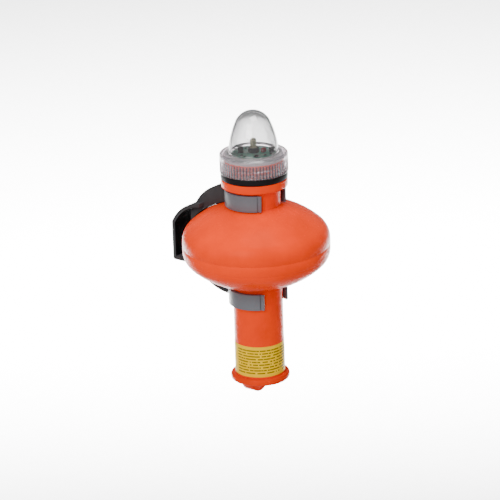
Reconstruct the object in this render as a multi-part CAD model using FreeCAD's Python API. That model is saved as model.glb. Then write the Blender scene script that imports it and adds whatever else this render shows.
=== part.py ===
import FreeCAD, Part
import math
import os

# Lifebuoy light on its wall bracket.  +Z is up along the beacon, dome at the top.
# The origin is on the bracket's wall face, level with the middle of the float,
# and +Y points into the wall.  All sizes are in millimetres.

# ---- driving dimensions ----
WALL_TO_AXIS = 75.0          # wall face to the beacon's axis
WALL = 2.4                   # thickness of the float shells

FLOAT_RADIUS = 59.3          # float at its equator
RIM_STRAIGHT = 4.0           # upright part of the rim, each side of the equator
RIM_ARC = 16.0               # radius of the rim's rounding
SHOULDER_SLOPE = 42.0        # slope where the rim's rounding ends, degrees
SHOULDER_TOP = 33.2          # height where a shoulder meets the neck or tube

NECK_RADIUS = 20.7
EDGE_BREAK = 0.6             # chamfer on the collar and spigot
TONGUE = 1.4                 # rib that centres one shell in the other
TONGUE_HEIGHT = 3.0
TONGUE_GAP = 0.1
COLLAR_RADIUS = 26.6
COLLAR_BOTTOM = 48.8
COLLAR_TOP = 55.7
SPIGOT_RADIUS = 23.5
SPIGOT_TOP = 71.5

TUBE_RADIUS = 20.0           # battery tube, round D cells
BORE_RADIUS = 17.8
TUBE_TOP = 22.0              # inner end of the battery tube, inside the neck
TUBE_BOTTOM = -109.0
SOCKET_BOTTOM = 8.0          # lower rim of the socket that receives the tube
SOCKET_WALL = 2.4
SOCKET_GAP = 0.1
COUNTERBORE_RADIUS = 20.6
COUNTERBORE_FLOOR = 52.0

GASKET_INNER = 23.8
GASKET_OUTER = 26.9
GASKET_TOP = 61.0
GASKET_EDGE = 0.5

RING_RADIUS = 27.3           # screw ring of the lens cap
RING_TOP = 77.0
RING_SHOULDER = 2.3
RING_BORE = 25.0
ROOF_UNDERSIDE = 74.6
DOME_APEX = 110.7
DOME_CROWN = 15.2            # radius of the dome's crown
DOME_SHOULDER = 13.9         # radius from the axis where the crown ends
DOME_BASE = 20.1
DOME_WALL = 1.7
RING_EDGE = 0.4              # chamfer at the ring's lower rim
DOME_MOUTH_GAP = 0.6         # room round the board under the roof

THREAD_PITCH = 4.0
THREAD_TURNS = 1.5
THREAD_ROOT_WIDTH = 1.8
THREAD_CREST_WIDTH = 1.0
THREAD_SINK = 0.3            # how far a thread's root is buried in its wall
SPIGOT_CREST = 24.6
RING_CREST = 24.0
SPIGOT_THREAD_HEIGHT = 63.2  # height of the spigot thread's middle at +X
SPIGOT_THREAD_ANGLE = 30.0   # where each thread begins, degrees from +X
RING_THREAD_ANGLE = 90.0

CELL_RADIUS = 16.8
CELL_LENGTH = 61.5
CELL_NUB_RADIUS = 4.75
CELL_NUB_HEIGHT = 1.5
CELL_TOP = 23.5              # top of the upper cell
CELL_CRIMP = 1.0
CELL_BASE_STEP = 0.6
CELL_BASE_INSET = 2.5

SPRING_WIRE = 0.6
SPRING_RADIUS = 9.0
SPRING_TURNS = 3.5
SPRING_SIDES = 10            # flats round the wire's section

STRIP_INNER = 17.15
STRIP_THICKNESS = 0.3
STRIP_HALF_WIDTH = 3.0
STRIP_TOP = 51.0
STRIP_FOOT_END = 8.0

CARRIER_RADIUS = 16.9
CARRIER_BOTTOM = 26.0
CARRIER_FLOOR = 30.0
CARRIER_BORE = 14.0
CARRIER_HEAD_RADIUS = 20.3
CARRIER_HEAD_BOTTOM = 52.4
CARRIER_FLANGE_RADIUS = 23.0
CARRIER_TOP = 74.5

CONTACT_SHANK = 2.6          # shank of the positive contact
CONTACT_HEAD = 5.5
CONTACT_REACH = 1.0          # how far its shank stands up inside the carrier
CONTACT_SEAT = 16.4          # groove for the negative contact ring
CONTACT_LOW = 42.0
CONTACT_HIGH = 50.0
LEAD_RADIUS = 0.6
LEAD_HEIGHT = 46.0           # where the negative lead meets its ring
LEAD_REACH = 10.5            # radius at which the negative lead comes down
LEAD_BEND = 3.0
SLIP = 0.05                  # gap round a piece that sits in its own hole

BOARD_RADIUS = 18.2
BOARD_THICKNESS = 1.6
BOARD_TOP = CARRIER_TOP + BOARD_THICKNESS
BOARD_SCREW_CIRCLE = 16.0
BOARD_SCREW_ANGLES = (100, 280)
BOARD_HOLE = 1.3
SCREW_SHANK = 1.1
SCREW_HEAD = 2.1
SCREW_HEAD_HEIGHT = 0.9
SCREW_LENGTH = 5.0
SCREW_SLOT = 0.5

SOCKET_RADIUS = 4.3
SOCKET_HEIGHT = 4.0
LED_RADIUS = 2.5
LED_HEIGHT = 8.0
LED_RIM = 0.4                # how far the lamp's foot stands out
LED_RIM_HEIGHT = 1.0
SOCKET_FLAT = 0.5            # depth of the flat on the socket's side
SWITCH_PLACE = (-6.3, 8.1)
SWITCH_RADIUS = 2.3
SWITCH_HEIGHT = 5.0
SWITCH_BORE = 1.6
SWITCH_FLOOR = 0.5
BALL_RADIUS = 1.3
CAPACITOR_PLACE = (4.9, -6.3)
CAPACITOR_SIZE = (4.2, 2.6, 3.2)
CAPACITOR_ROUNDING = 0.5
TRANSISTOR_PLACE = (-9.0, -9.6)
TRANSISTOR_SIZE = (3.4, 2.4, 1.4)
TRANSISTOR_ROUNDING = 0.2
INDUCTOR_PLACE = (9.6, -11.0)
INDUCTOR_RADIUS = 2.4
INDUCTOR_HEIGHT = 3.2
INDUCTOR_WAIST = 1.8
INDUCTOR_RIM = 0.8           # thickness of the spool's end plates
RESISTOR_SIZE = (2.0, 1.25, 0.6)
RESISTOR_PLACES = ((-13.0, -1.5), (-12.0, 2.5), (-1.5, -12.5), (8.5, 4.5), (4.5, 11.5), (12.5, -1.0))

TAIL_RADIUS = 23.9
TAIL_BOTTOM = -114.7
TAIL_DOME = 0.8              # how far the underside bulges
TAIL_DOME_HALFWAY = 0.6      # how far it has bulged at half the radius
TAIL_ROUNDING = 2.4
PLUG_RADIUS = 17.6
PLUG_TOP = -106.5
LUG_THICKNESS = 10.0
LUG_CENTRE = (-6.5, -111.2)  # centre of the half-moon lug
LUG_RADIUS = 12.5
LUG_ROOT = -113.2            # top of the lug, inside the cap
EYE_CENTRE = (-3.9, -120.0)  # lanyard hole in the lug
EYE_RADIUS = 2.0

LABEL_TOP = -81.8
LABEL_BOTTOM = -107.8
LABEL_THICKNESS = 0.2
LABEL_GAP = 8.0              # half-angle of the bare stretch at the back, degrees

CLIP_HEIGHT = 13.0
CLIP_MOUTH = 48.7            # half-angle of the mouth, degrees
LIP_LENGTH = 4.3
LIP_THICKNESS = 2.0
LIP_LEAN = 15.0              # how far the lips lean together, degrees
LIP_OVERLAP = 0.6
CLIP_SEAT_GAP = 0.05         # between a clip's back and its arm
UPPER_SCREW_HEIGHT = 40.1
LOWER_SCREW_HEIGHT = -41.0
UPPER_CLIP = (33.6, 21.0, 24.2, UPPER_SCREW_HEIGHT)      # lower edge, inner and outer radius
LOWER_CLIP = (-49.2, 20.3, 23.6, LOWER_SCREW_HEIGHT)
CLIP_SCREW_OFFSET = 3.6      # sideways, each side of the middle
CLIP_SCREW_SHANK = 1.2
CLIP_SCREW_HEAD = 2.3
CLIP_SCREW_SUNK = 1.5
CLIP_SCREW_RECESS = 0.3      # how far the head lies below the band's inside
CLIP_SCREW_END = 31.0        # distance of the screw's point from the beacon's axis

# Distances of the bracket's outlines run from the beacon's axis towards the wall.
ARM_HALF_WIDTH = 8.0
ARM_START = 19.0
ARM_BEND = 26.0              # where an arm leaves its clip and starts to curve
ARM_FOOT = 5.0               # height of an arm's inner corner
UPPER_ARM = ((42.5, 39.8), (55.4, 25.2), (60.0, 17.5))      # distance, height
LOWER_ARM_EDGE = -44.9       # lower edge of the lower arm at its clip
LOWER_ARM = ((42.0, -39.5), (54.5, -26.5), (60.0, -17.5))
TRAY_HALF_WIDTH = 14.2
TRAY_FLANGE = 3.0
TRAY_START = 46.0
TRAY_ARC_CENTRE = (42.85, -7.1)
TRAY_ARC_RADIUS = 35.9
TRAY_SHOULDER = 0.6          # how far short of the back the tray's arc stops
TRAY_CORNER = 2.0
TRAY_BOTTOM = -23.5
FLOAT_CLEARANCE = 1.0
WALL_HOLE_HEIGHTS = (-5.0, -17.0)
WALL_HOLE_RADIUS = 2.1
BEYOND = 5.0                 # how far a wide cut runs past what it cuts
OVERRUN = 1.0                # how far a hole runs past the face it opens
CLOSED = 1e-6                # gap below which an outline counts as closed

AXIS_AT = FreeCAD.Vector(0, -WALL_TO_AXIS, 0)
UP = FreeCAD.Vector(0, 0, 1)
ORIGIN = FreeCAD.Vector(0, 0, 0)


# ---- small tools ----
def point(r, z):
    """A point at radius r and height z, in the plane that outlines are drawn in."""
    return FreeCAD.Vector(r, 0, z)


def polar(length, angle):
    return FreeCAD.Vector(length * math.cos(angle), 0, length * math.sin(angle))


class Outline:
    """A closed outline in the radius-height plane, drawn edge after edge."""

    def __init__(self, start):
        self.start = start
        self.here = start
        self.edges = []

    def line(self, *ends):
        for end in ends:
            self.edges.append(Part.LineSegment(self.here, end).toShape())
            self.here = end
        return self

    def arc(self, middle, end):
        self.edges.append(Part.Arc(self.here, middle, end).toShape())
        self.here = end
        return self

    def face(self):
        if self.here.distanceToPoint(self.start) > CLOSED:
            self.line(self.start)
        return Part.Face(Part.Wire(self.edges))

    def turned(self):
        """The solid swept by the outline about the upright axis."""
        return self.face().revolve(ORIGIN, UP, 360)

    def extruded(self, half_width):
        """The outline as a plate of the given half thickness, square to its plane."""
        plate = self.face().extrude(FreeCAD.Vector(0, 2 * half_width, 0))
        plate.translate(FreeCAD.Vector(0, -half_width, 0))
        return plate


def rod(radius, low, high, at=(0, 0)):
    """An upright cylinder between two heights."""
    return Part.makeCylinder(radius, high - low, FreeCAD.Vector(at[0], at[1], low), UP)


def ring(inner, outer, low, high):
    return rod(outer, low, high).cut(rod(inner, low - OVERRUN, high + OVERRUN))


def block(centre, size, bottom):
    """An upright box centred on a place, standing on a given height."""
    corner = FreeCAD.Vector(centre[0] - size[0] / 2, centre[1] - size[1] / 2, bottom)
    return Part.makeBox(size[0], size[1], size[2], corner)


def fused(first, *others):
    return first.multiFuse(list(others)).removeSplitter()


def group(shapes):
    return Part.Compound(shapes)


def at_angle(radius, degrees):
    angle = math.radians(degrees)
    return (radius * math.cos(angle), radius * math.sin(angle))


# ---- float shells ----
def shoulder_points(neck_radius, grow, side):
    """Points of half the float's outline, grown by an offset.  side is 1 above, -1 below.

    The rim is upright, turns through an arc, and a larger arc runs on to the neck."""
    turn = math.radians(90 - SHOULDER_SLOPE)
    rim_centre = point(FLOAT_RADIUS - RIM_ARC, RIM_STRAIGHT)
    rim_end = rim_centre + polar(RIM_ARC, turn)
    chord = point(neck_radius, SHOULDER_TOP) - rim_end
    radius = -chord.dot(chord) / (2 * polar(1, turn).dot(chord))
    centre = rim_end - polar(radius, turn)
    last = math.atan2(SHOULDER_TOP - centre.z, neck_radius - centre.x)
    points = [
        point(FLOAT_RADIUS + grow, 0),
        point(FLOAT_RADIUS + grow, RIM_STRAIGHT),
        rim_centre + polar(RIM_ARC + grow, turn / 2),
        rim_centre + polar(RIM_ARC + grow, turn),
        centre + polar(radius + grow, (turn + last) / 2),
        centre + polar(radius + grow, last),
    ]
    return [point(p.x, side * p.z) for p in points]


def half_float(neck_radius, grow, side):
    """Outline from the axis out along the equator and over the shoulder, left open."""
    rim, rim_top, rim_middle, rim_end, middle, end = shoulder_points(neck_radius, grow, side)
    outline = Outline(point(0, 0)).line(rim, rim_top)
    return outline.arc(rim_middle, rim_end).arc(middle, end)


def float_cavity(neck_radius, side):
    outline = half_float(neck_radius, -WALL, side)
    return outline.line(point(0, outline.here.z)).turned()


def upper_float_shell():
    outline = half_float(NECK_RADIUS, 0, 1)
    outline.line(
        point(NECK_RADIUS, COLLAR_BOTTOM),
        point(COLLAR_RADIUS - EDGE_BREAK, COLLAR_BOTTOM),
        point(COLLAR_RADIUS, COLLAR_BOTTOM + EDGE_BREAK),
        point(COLLAR_RADIUS, COLLAR_TOP - EDGE_BREAK),
        point(COLLAR_RADIUS - EDGE_BREAK, COLLAR_TOP),
        point(SPIGOT_RADIUS, COLLAR_TOP),
        point(SPIGOT_RADIUS, SPIGOT_TOP - EDGE_BREAK),
        point(SPIGOT_RADIUS - EDGE_BREAK, SPIGOT_TOP),
        point(0, SPIGOT_TOP),
    )
    socket_outer = TUBE_RADIUS + SOCKET_GAP + SOCKET_WALL
    hollow = float_cavity(NECK_RADIUS, 1).cut(rod(socket_outer, SOCKET_BOTTOM, COLLAR_BOTTOM))
    shell = outline.turned().cut(hollow)
    shell = shell.cut(rod(TUBE_RADIUS + SOCKET_GAP, -OVERRUN, TUBE_TOP))
    shell = shell.cut(rod(BORE_RADIUS, TUBE_TOP - OVERRUN, COUNTERBORE_FLOOR + OVERRUN))
    shell = shell.cut(rod(COUNTERBORE_RADIUS, COUNTERBORE_FLOOR, SPIGOT_TOP + OVERRUN))
    thread = thread_rib(SPIGOT_RADIUS, SPIGOT_CREST, SPIGOT_THREAD_HEIGHT, SPIGOT_THREAD_ANGLE)
    return shell.fuse(thread)


def lower_float_shell():
    outline = half_float(TUBE_RADIUS, 0, -1)
    outline.line(point(TUBE_RADIUS, TUBE_BOTTOM), point(0, TUBE_BOTTOM))
    hollow = float_cavity(TUBE_RADIUS, -1).cut(rod(TUBE_RADIUS, -SHOULDER_TOP, OVERRUN))
    inner_radius = FLOAT_RADIUS - WALL
    tongue = ring(inner_radius - TONGUE, inner_radius - TONGUE_GAP, -TONGUE_HEIGHT, TONGUE_HEIGHT)
    root = ring(inner_radius - TONGUE, inner_radius + TONGUE_GAP, -TONGUE_HEIGHT, -EDGE_BREAK)
    shell = outline.turned().cut(hollow)
    shell = fused(shell, rod(TUBE_RADIUS, -SHOULDER_TOP, TUBE_TOP), tongue, root)
    return shell.cut(rod(BORE_RADIUS, TUBE_BOTTOM - OVERRUN, TUBE_TOP + OVERRUN))


# ---- threads and lens cap ----
def thread_rib(root, crest, height, angle):
    """A right-hand trapezoidal rib on a helix that passes +X at a height, begun at an angle."""
    inward = 1 if crest < root else -1
    buried = root + inward * THREAD_SINK
    half_root = THREAD_ROOT_WIDTH / 2
    half_crest = THREAD_CREST_WIDTH / 2
    helix = Part.makeHelix(THREAD_PITCH, THREAD_PITCH * THREAD_TURNS, root)
    profile = Part.makePolygon([
        point(buried, -half_root),
        point(root, -half_root),
        point(crest, -half_crest),
        point(crest, half_crest),
        point(root, half_root),
        point(buried, half_root),
        point(buried, -half_root),
    ])
    rib = Part.Wire(helix).makePipeShell([profile], True, True)
    rib.translate(FreeCAD.Vector(0, 0, height + THREAD_PITCH * angle / 360))
    rib.rotate(ORIGIN, UP, angle)
    return Part.Solid(rib)


def dome_points(inset):
    """Crown and side arcs of the dome, moved inwards by a wall thickness."""
    crown_centre = point(0, DOME_APEX - DOME_CROWN)
    turn = math.acos(DOME_SHOULDER / DOME_CROWN)
    joint = crown_centre + polar(DOME_CROWN, turn)
    chord = point(DOME_BASE, RING_TOP) - joint
    radius = -chord.dot(chord) / (2 * polar(1, turn).dot(chord))
    centre = joint - polar(radius, turn)
    last = math.atan2(RING_TOP - centre.z, DOME_BASE - centre.x)
    return [
        point(0, DOME_APEX - inset),
        crown_centre + polar(DOME_CROWN - inset, (math.pi / 2 + turn) / 2),
        crown_centre + polar(DOME_CROWN - inset, turn),
        centre + polar(radius - inset, (turn + last) / 2),
        centre + polar(radius - inset, last),
    ]


def lens_cap():
    apex, crown, joint, side, base = dome_points(0)
    in_apex, in_crown, in_joint, in_side, in_base = dome_points(DOME_WALL)
    shoulder = RING_RADIUS - RING_SHOULDER
    shoulder_middle = point(shoulder, RING_TOP - RING_SHOULDER) + polar(RING_SHOULDER, math.pi / 4)
    outline = Outline(apex).arc(crown, joint).arc(side, base)
    outline.line(point(shoulder, RING_TOP))
    outline.arc(shoulder_middle, point(RING_RADIUS, RING_TOP - RING_SHOULDER))
    outline.line(
        point(RING_RADIUS, GASKET_TOP + RING_EDGE),
        point(RING_RADIUS - RING_EDGE, GASKET_TOP),
        point(RING_BORE, GASKET_TOP),
        point(RING_BORE, ROOF_UNDERSIDE),
        point(BOARD_RADIUS + DOME_MOUTH_GAP, ROOF_UNDERSIDE),
        in_base,
    )
    outline.arc(in_side, in_joint).arc(in_crown, in_apex)
    height = SPIGOT_THREAD_HEIGHT - THREAD_PITCH / 2
    return outline.turned().fuse(thread_rib(RING_BORE, RING_CREST, height, RING_THREAD_ANGLE))


def lens_gasket():
    outline = Outline(point(GASKET_INNER, COLLAR_TOP))
    outline.line(
        point(GASKET_OUTER - GASKET_EDGE, COLLAR_TOP),
        point(GASKET_OUTER, COLLAR_TOP + GASKET_EDGE),
        point(GASKET_OUTER, GASKET_TOP - GASKET_EDGE),
        point(GASKET_OUTER - GASKET_EDGE, GASKET_TOP),
        point(GASKET_INNER, GASKET_TOP),
    )
    return outline.turned()


# ---- power train inside the tube ----
def battery_cell(top):
    can_top = top - CELL_NUB_HEIGHT
    bottom = top - CELL_LENGTH
    outline = Outline(point(0, bottom)).line(
        point(CELL_RADIUS - CELL_BASE_INSET, bottom),
        point(CELL_RADIUS - CELL_BASE_INSET, bottom + CELL_BASE_STEP),
        point(CELL_RADIUS, bottom + CELL_BASE_STEP),
        point(CELL_RADIUS, can_top - CELL_CRIMP),
        point(CELL_RADIUS - CELL_CRIMP, can_top),
        point(CELL_NUB_RADIUS, can_top),
        point(CELL_NUB_RADIUS, top),
        point(0, top),
    )
    return outline.turned()


def battery_spring():
    """Compression spring that stands on the foot of the contact strip."""
    bottom = PLUG_TOP + STRIP_THICKNESS + SPRING_WIRE
    top = CELL_TOP - 2 * CELL_LENGTH - SPRING_WIRE
    rise = top - bottom
    helix = Part.makeHelix(rise / SPRING_TURNS, rise, SPRING_RADIUS)
    step = 2 * math.pi / SPRING_SIDES
    centre = point(SPRING_RADIUS, 0)
    corners = [centre + polar(SPRING_WIRE, (k + 0.5) * step) for k in range(SPRING_SIDES)]
    section = Part.makePolygon(corners + corners[:1])
    spring = Part.Solid(Part.Wire(helix).makePipeShell([section], True, True))
    spring.translate(FreeCAD.Vector(0, 0, bottom))
    return spring


def contact_strip():
    """Strip up the tube's wall, with a foot under the spring."""
    outer = STRIP_INNER + STRIP_THICKNESS
    strip = Part.makeBox(STRIP_THICKNESS, 2 * STRIP_HALF_WIDTH, STRIP_TOP - PLUG_TOP)
    strip.translate(FreeCAD.Vector(STRIP_INNER, -STRIP_HALF_WIDTH, PLUG_TOP))
    foot = Part.makeBox(outer - STRIP_FOOT_END, 2 * STRIP_HALF_WIDTH, STRIP_THICKNESS)
    foot.translate(FreeCAD.Vector(STRIP_FOOT_END, -STRIP_HALF_WIDTH, PLUG_TOP))
    return fused(strip, foot)


def lamp_carrier():
    """Hollow plug that presses on the cells and carries the board on its flange."""
    body = Outline(point(0, CARRIER_BOTTOM)).line(
        point(CARRIER_RADIUS, CARRIER_BOTTOM),
        point(CARRIER_RADIUS, CARRIER_HEAD_BOTTOM),
        point(CARRIER_HEAD_RADIUS, CARRIER_HEAD_BOTTOM),
        point(CARRIER_HEAD_RADIUS, SPIGOT_TOP),
        point(CARRIER_FLANGE_RADIUS, SPIGOT_TOP),
        point(CARRIER_FLANGE_RADIUS, CARRIER_TOP),
        point(0, CARRIER_TOP),
    ).turned()
    body = body.cut(rod(CARRIER_BORE, CARRIER_FLOOR, CARRIER_TOP + OVERRUN))
    body = body.cut(rod(CONTACT_SHANK + SLIP, CARRIER_BOTTOM - OVERRUN, CARRIER_FLOOR + OVERRUN))
    body = body.cut(ring(CONTACT_SEAT, CARRIER_RADIUS + OVERRUN, CONTACT_LOW, CONTACT_HIGH))
    body = body.cut(radial_rod(LEAD_RADIUS + SLIP, CARRIER_BORE - OVERRUN, CARRIER_RADIUS, LEAD_HEIGHT))
    for angle in BOARD_SCREW_ANGLES:
        place = at_angle(BOARD_SCREW_CIRCLE, angle)
        screw_bottom = CARRIER_TOP - SCREW_LENGTH
        body = body.cut(rod(SCREW_SHANK + SLIP, screw_bottom, CARRIER_TOP + OVERRUN, place))
    return body


def radial_rod(radius, near, far, height):
    """A cylinder lying along +X at a given height, between two radii."""
    return Part.makeCylinder(radius, far - near, point(near, height), FreeCAD.Vector(1, 0, 0))


def positive_contact():
    head = rod(CONTACT_HEAD, CELL_TOP, CARRIER_BOTTOM)
    return fused(head, rod(CONTACT_SHANK, CARRIER_BOTTOM, CARRIER_FLOOR + CONTACT_REACH))


def negative_contact():
    return ring(CONTACT_SEAT + SLIP, CARRIER_RADIUS, CONTACT_LOW + SLIP, CONTACT_HIGH - SLIP)


def positive_lead():
    return rod(LEAD_RADIUS, CARRIER_FLOOR + CONTACT_REACH, CARRIER_TOP)


def negative_lead():
    """Comes straight down from the board and bends out to the contact ring."""
    top = point(LEAD_REACH, CARRIER_TOP)
    bend_start = point(LEAD_REACH, LEAD_HEIGHT + LEAD_BEND)
    bend_centre = point(LEAD_REACH + LEAD_BEND, LEAD_HEIGHT + LEAD_BEND)
    bend_middle = bend_centre + polar(LEAD_BEND, math.radians(225))
    bend_end = point(LEAD_REACH + LEAD_BEND, LEAD_HEIGHT)
    path = Part.Wire([
        Part.LineSegment(top, bend_start).toShape(),
        Part.Arc(bend_start, bend_middle, bend_end).toShape(),
        Part.LineSegment(bend_end, point(CONTACT_SEAT, LEAD_HEIGHT)).toShape(),
    ])
    section = Part.Wire(Part.makeCircle(LEAD_RADIUS, top, UP))
    return Part.Solid(path.makePipeShell([section], True, False))


# ---- lamp and board ----
def circuit_board():
    board = rod(BOARD_RADIUS, CARRIER_TOP, BOARD_TOP)
    for angle in BOARD_SCREW_ANGLES:
        place = at_angle(BOARD_SCREW_CIRCLE, angle)
        board = board.cut(rod(BOARD_HOLE, CARRIER_TOP - OVERRUN, BOARD_TOP + OVERRUN, place))
    return board


def board_screws():
    screws = []
    for angle in BOARD_SCREW_ANGLES:
        place = at_angle(BOARD_SCREW_CIRCLE, angle)
        shank = rod(SCREW_SHANK, CARRIER_TOP - SCREW_LENGTH, BOARD_TOP, place)
        head = rod(SCREW_HEAD, BOARD_TOP, BOARD_TOP + SCREW_HEAD_HEIGHT, place)
        slot_size = (3 * SCREW_HEAD, SCREW_SLOT, SCREW_HEAD_HEIGHT)
        slot = block(place, slot_size, BOARD_TOP + SCREW_HEAD_HEIGHT / 2)
        screws.append(shank.fuse(head).cut(slot))
    return group(screws)


def led_socket():
    body = rod(SOCKET_RADIUS, BOARD_TOP, BOARD_TOP + SOCKET_HEIGHT)
    flat = block((SOCKET_RADIUS, 0), (2 * SOCKET_FLAT, 2 * SOCKET_RADIUS, SOCKET_HEIGHT), BOARD_TOP)
    return body.cut(flat)


def led_lamp():
    base = BOARD_TOP + SOCKET_HEIGHT
    straight = base + LED_HEIGHT - LED_RADIUS
    outline = Outline(point(0, base)).line(
        point(LED_RADIUS + LED_RIM, base),
        point(LED_RADIUS + LED_RIM, base + LED_RIM_HEIGHT),
        point(LED_RADIUS, base + LED_RIM_HEIGHT),
        point(LED_RADIUS, straight),
    )
    outline.arc(point(0, straight) + polar(LED_RADIUS, math.pi / 4), point(0, base + LED_HEIGHT))
    return outline.turned()


def tilt_switch_can():
    can = rod(SWITCH_RADIUS, BOARD_TOP, BOARD_TOP + SWITCH_HEIGHT, SWITCH_PLACE)
    low = BOARD_TOP + SWITCH_FLOOR
    high = BOARD_TOP + SWITCH_HEIGHT - SWITCH_FLOOR
    return can.cut(rod(SWITCH_BORE, low, high, SWITCH_PLACE))


def tilt_switch_ball():
    height = BOARD_TOP + SWITCH_FLOOR + BALL_RADIUS
    return Part.makeSphere(BALL_RADIUS, FreeCAD.Vector(SWITCH_PLACE[0], SWITCH_PLACE[1], height))


def storage_capacitor():
    return rounded(block(CAPACITOR_PLACE, CAPACITOR_SIZE, BOARD_TOP), CAPACITOR_ROUNDING)


def driver_transistor():
    return rounded(block(TRANSISTOR_PLACE, TRANSISTOR_SIZE, BOARD_TOP), TRANSISTOR_ROUNDING)


def driver_inductor():
    """Spool with a plate at each end of its waist."""
    top = BOARD_TOP + INDUCTOR_HEIGHT
    spool = rod(INDUCTOR_RADIUS, BOARD_TOP, top, INDUCTOR_PLACE)
    round_waist = rod(2 * INDUCTOR_RADIUS, BOARD_TOP + INDUCTOR_RIM, top - INDUCTOR_RIM, INDUCTOR_PLACE)
    return spool.cut(round_waist.cut(rod(INDUCTOR_WAIST, BOARD_TOP, top, INDUCTOR_PLACE)))


def board_resistors():
    return group([block(place, RESISTOR_SIZE, BOARD_TOP) for place in RESISTOR_PLACES])


def rounded(solid, radius):
    return solid.makeFillet(radius, solid.Edges)


# ---- tail cap and label ----
def tail_cap():
    side_top = TUBE_BOTTOM - TAIL_ROUNDING
    side_bottom = TAIL_BOTTOM + TAIL_ROUNDING
    inner = TAIL_RADIUS - TAIL_ROUNDING
    outline = Outline(point(0, PLUG_TOP)).line(
        point(PLUG_RADIUS, PLUG_TOP),
        point(PLUG_RADIUS, TUBE_BOTTOM),
        point(inner, TUBE_BOTTOM),
    )
    outline.arc(point(inner, side_top) + polar(TAIL_ROUNDING, math.pi / 4), point(TAIL_RADIUS, side_top))
    outline.line(point(TAIL_RADIUS, side_bottom))
    outline.arc(point(inner, side_bottom) + polar(TAIL_ROUNDING, -math.pi / 4), point(inner, TAIL_BOTTOM))
    outline.arc(point(inner / 2, TAIL_BOTTOM - TAIL_DOME_HALFWAY), point(0, TAIL_BOTTOM - TAIL_DOME))
    return fused(outline.turned(), lanyard_lug())


def lanyard_lug():
    """Half-moon lug that hangs off-centre below the cap, with the lanyard's eye through it."""
    centre = point(LUG_CENTRE[0], LUG_CENTRE[1])
    rise = math.asin((LUG_ROOT - centre.z) / LUG_RADIUS)
    outline = Outline(centre + polar(LUG_RADIUS, math.pi - rise))
    outline.arc(centre + polar(LUG_RADIUS, -math.pi / 2), centre + polar(LUG_RADIUS, rise))
    plate = outline.extruded(LUG_THICKNESS / 2)
    hole_start = FreeCAD.Vector(EYE_CENTRE[0], -LUG_THICKNESS, EYE_CENTRE[1])
    hole = Part.makeCylinder(EYE_RADIUS, 2 * LUG_THICKNESS, hole_start, FreeCAD.Vector(0, 1, 0))
    return plate.cut(hole)


def instruction_label():
    outer = TUBE_RADIUS + LABEL_THICKNESS
    sleeve = ring(TUBE_RADIUS, outer, LABEL_BOTTOM, LABEL_TOP)
    low = LABEL_BOTTOM - OVERRUN
    high = LABEL_TOP + OVERRUN
    bare = sector(outer + BEYOND, 90 - LABEL_GAP, 90 + LABEL_GAP, low, high)
    return sleeve.cut(bare)


def sector(radius, first, last, low, high):
    """A wedge of a cylinder between two angles in degrees."""
    wedge = Part.makeCylinder(radius, high - low, FreeCAD.Vector(0, 0, low), UP, last - first)
    wedge.rotate(ORIGIN, UP, first)
    return wedge


# ---- bracket and clips ----
def spring_clip(low, inner, outer, screw_height):
    """Open band whose mouth faces -Y, ending in a thinner lip on each side."""
    high = low + CLIP_HEIGHT
    first = -90 - CLIP_MOUTH
    last = -90 + CLIP_MOUTH
    band = ring(inner, outer, low, high)
    band = band.cut(sector(outer + BEYOND, first, last, low - OVERRUN, high + OVERRUN))
    lips = [clip_lip(inner, low, angle, side) for angle, side in ((last, 1), (first, -1))]
    clip = fused(band, *lips)
    for side in (-1, 1):
        clip = clip.cut(clip_screw(inner, side, screw_height, SLIP))
    return clip


def clip_lip(inner, low, angle, side):
    """Flat lip that carries on from a band's end towards the mouth."""
    root = FreeCAD.Vector(*at_angle(inner, angle), low)
    outwards = FreeCAD.Vector(*at_angle(1, angle), 0)
    lean = math.radians(LIP_LEAN)
    along = FreeCAD.Vector(-side * math.sin(lean), -math.cos(lean), 0)
    across = FreeCAD.Vector(side * math.cos(lean), -math.sin(lean), 0)
    back = FreeCAD.Vector(-outwards.y * side, outwards.x * side, 0) * LIP_OVERLAP
    tip = root + along * LIP_LENGTH
    corners = [
        root + back,
        root,
        tip,
        tip + across * LIP_THICKNESS,
        root + outwards * LIP_THICKNESS,
        root + outwards * LIP_THICKNESS + back,
    ]
    face = Part.Face(Part.makePolygon(corners + corners[:1]))
    return face.extrude(UP * CLIP_HEIGHT)


def clip_screw(inner, side, height, grow):
    """Countersunk screw that points at the wall, its head just below the band's inside."""
    across = side * CLIP_SCREW_OFFSET
    start = inner + CLIP_SCREW_RECESS
    neck = start + CLIP_SCREW_SUNK
    inwards = FreeCAD.Vector(0, 1, 0)
    head = Part.makeCone(
        CLIP_SCREW_HEAD + grow, CLIP_SCREW_SHANK + grow, CLIP_SCREW_SUNK,
        FreeCAD.Vector(across, start, height), inwards)
    shank = Part.makeCylinder(
        CLIP_SCREW_SHANK + grow, CLIP_SCREW_END + grow - neck,
        FreeCAD.Vector(across, neck, height), inwards)
    if not grow:
        return fused(head, shank)
    way_in = Part.makeCylinder(
        CLIP_SCREW_HEAD + grow, CLIP_SCREW_SUNK,
        FreeCAD.Vector(across, start - CLIP_SCREW_SUNK, height), inwards)
    return fused(head, shank, way_in)


def clip_screws():
    screws = []
    for _, inner, _, height in (UPPER_CLIP, LOWER_CLIP):
        screws += [clip_screw(inner, side, height, 0) for side in (-1, 1)]
    return group(screws)


def facing_wall(plate):
    """Turns a plate drawn in the radius-height plane so that radius runs towards the wall."""
    plate.rotate(ORIGIN, UP, 90)
    return plate


def bracket_arm(clip_edge, corners):
    """One arm, from its clip round the float to its inner end; corners run from clip to wall."""
    side = 1 if clip_edge > 0 else -1
    middle, bend, end = [point(*corner) for corner in corners]
    outline = Outline(point(ARM_START, clip_edge)).line(point(ARM_BEND, clip_edge))
    outline.arc(middle, bend)
    outline.line(end, point(end.x, side * ARM_FOOT), point(ARM_START, side * ARM_FOOT))
    return outline.extruded(ARM_HALF_WIDTH)


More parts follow.
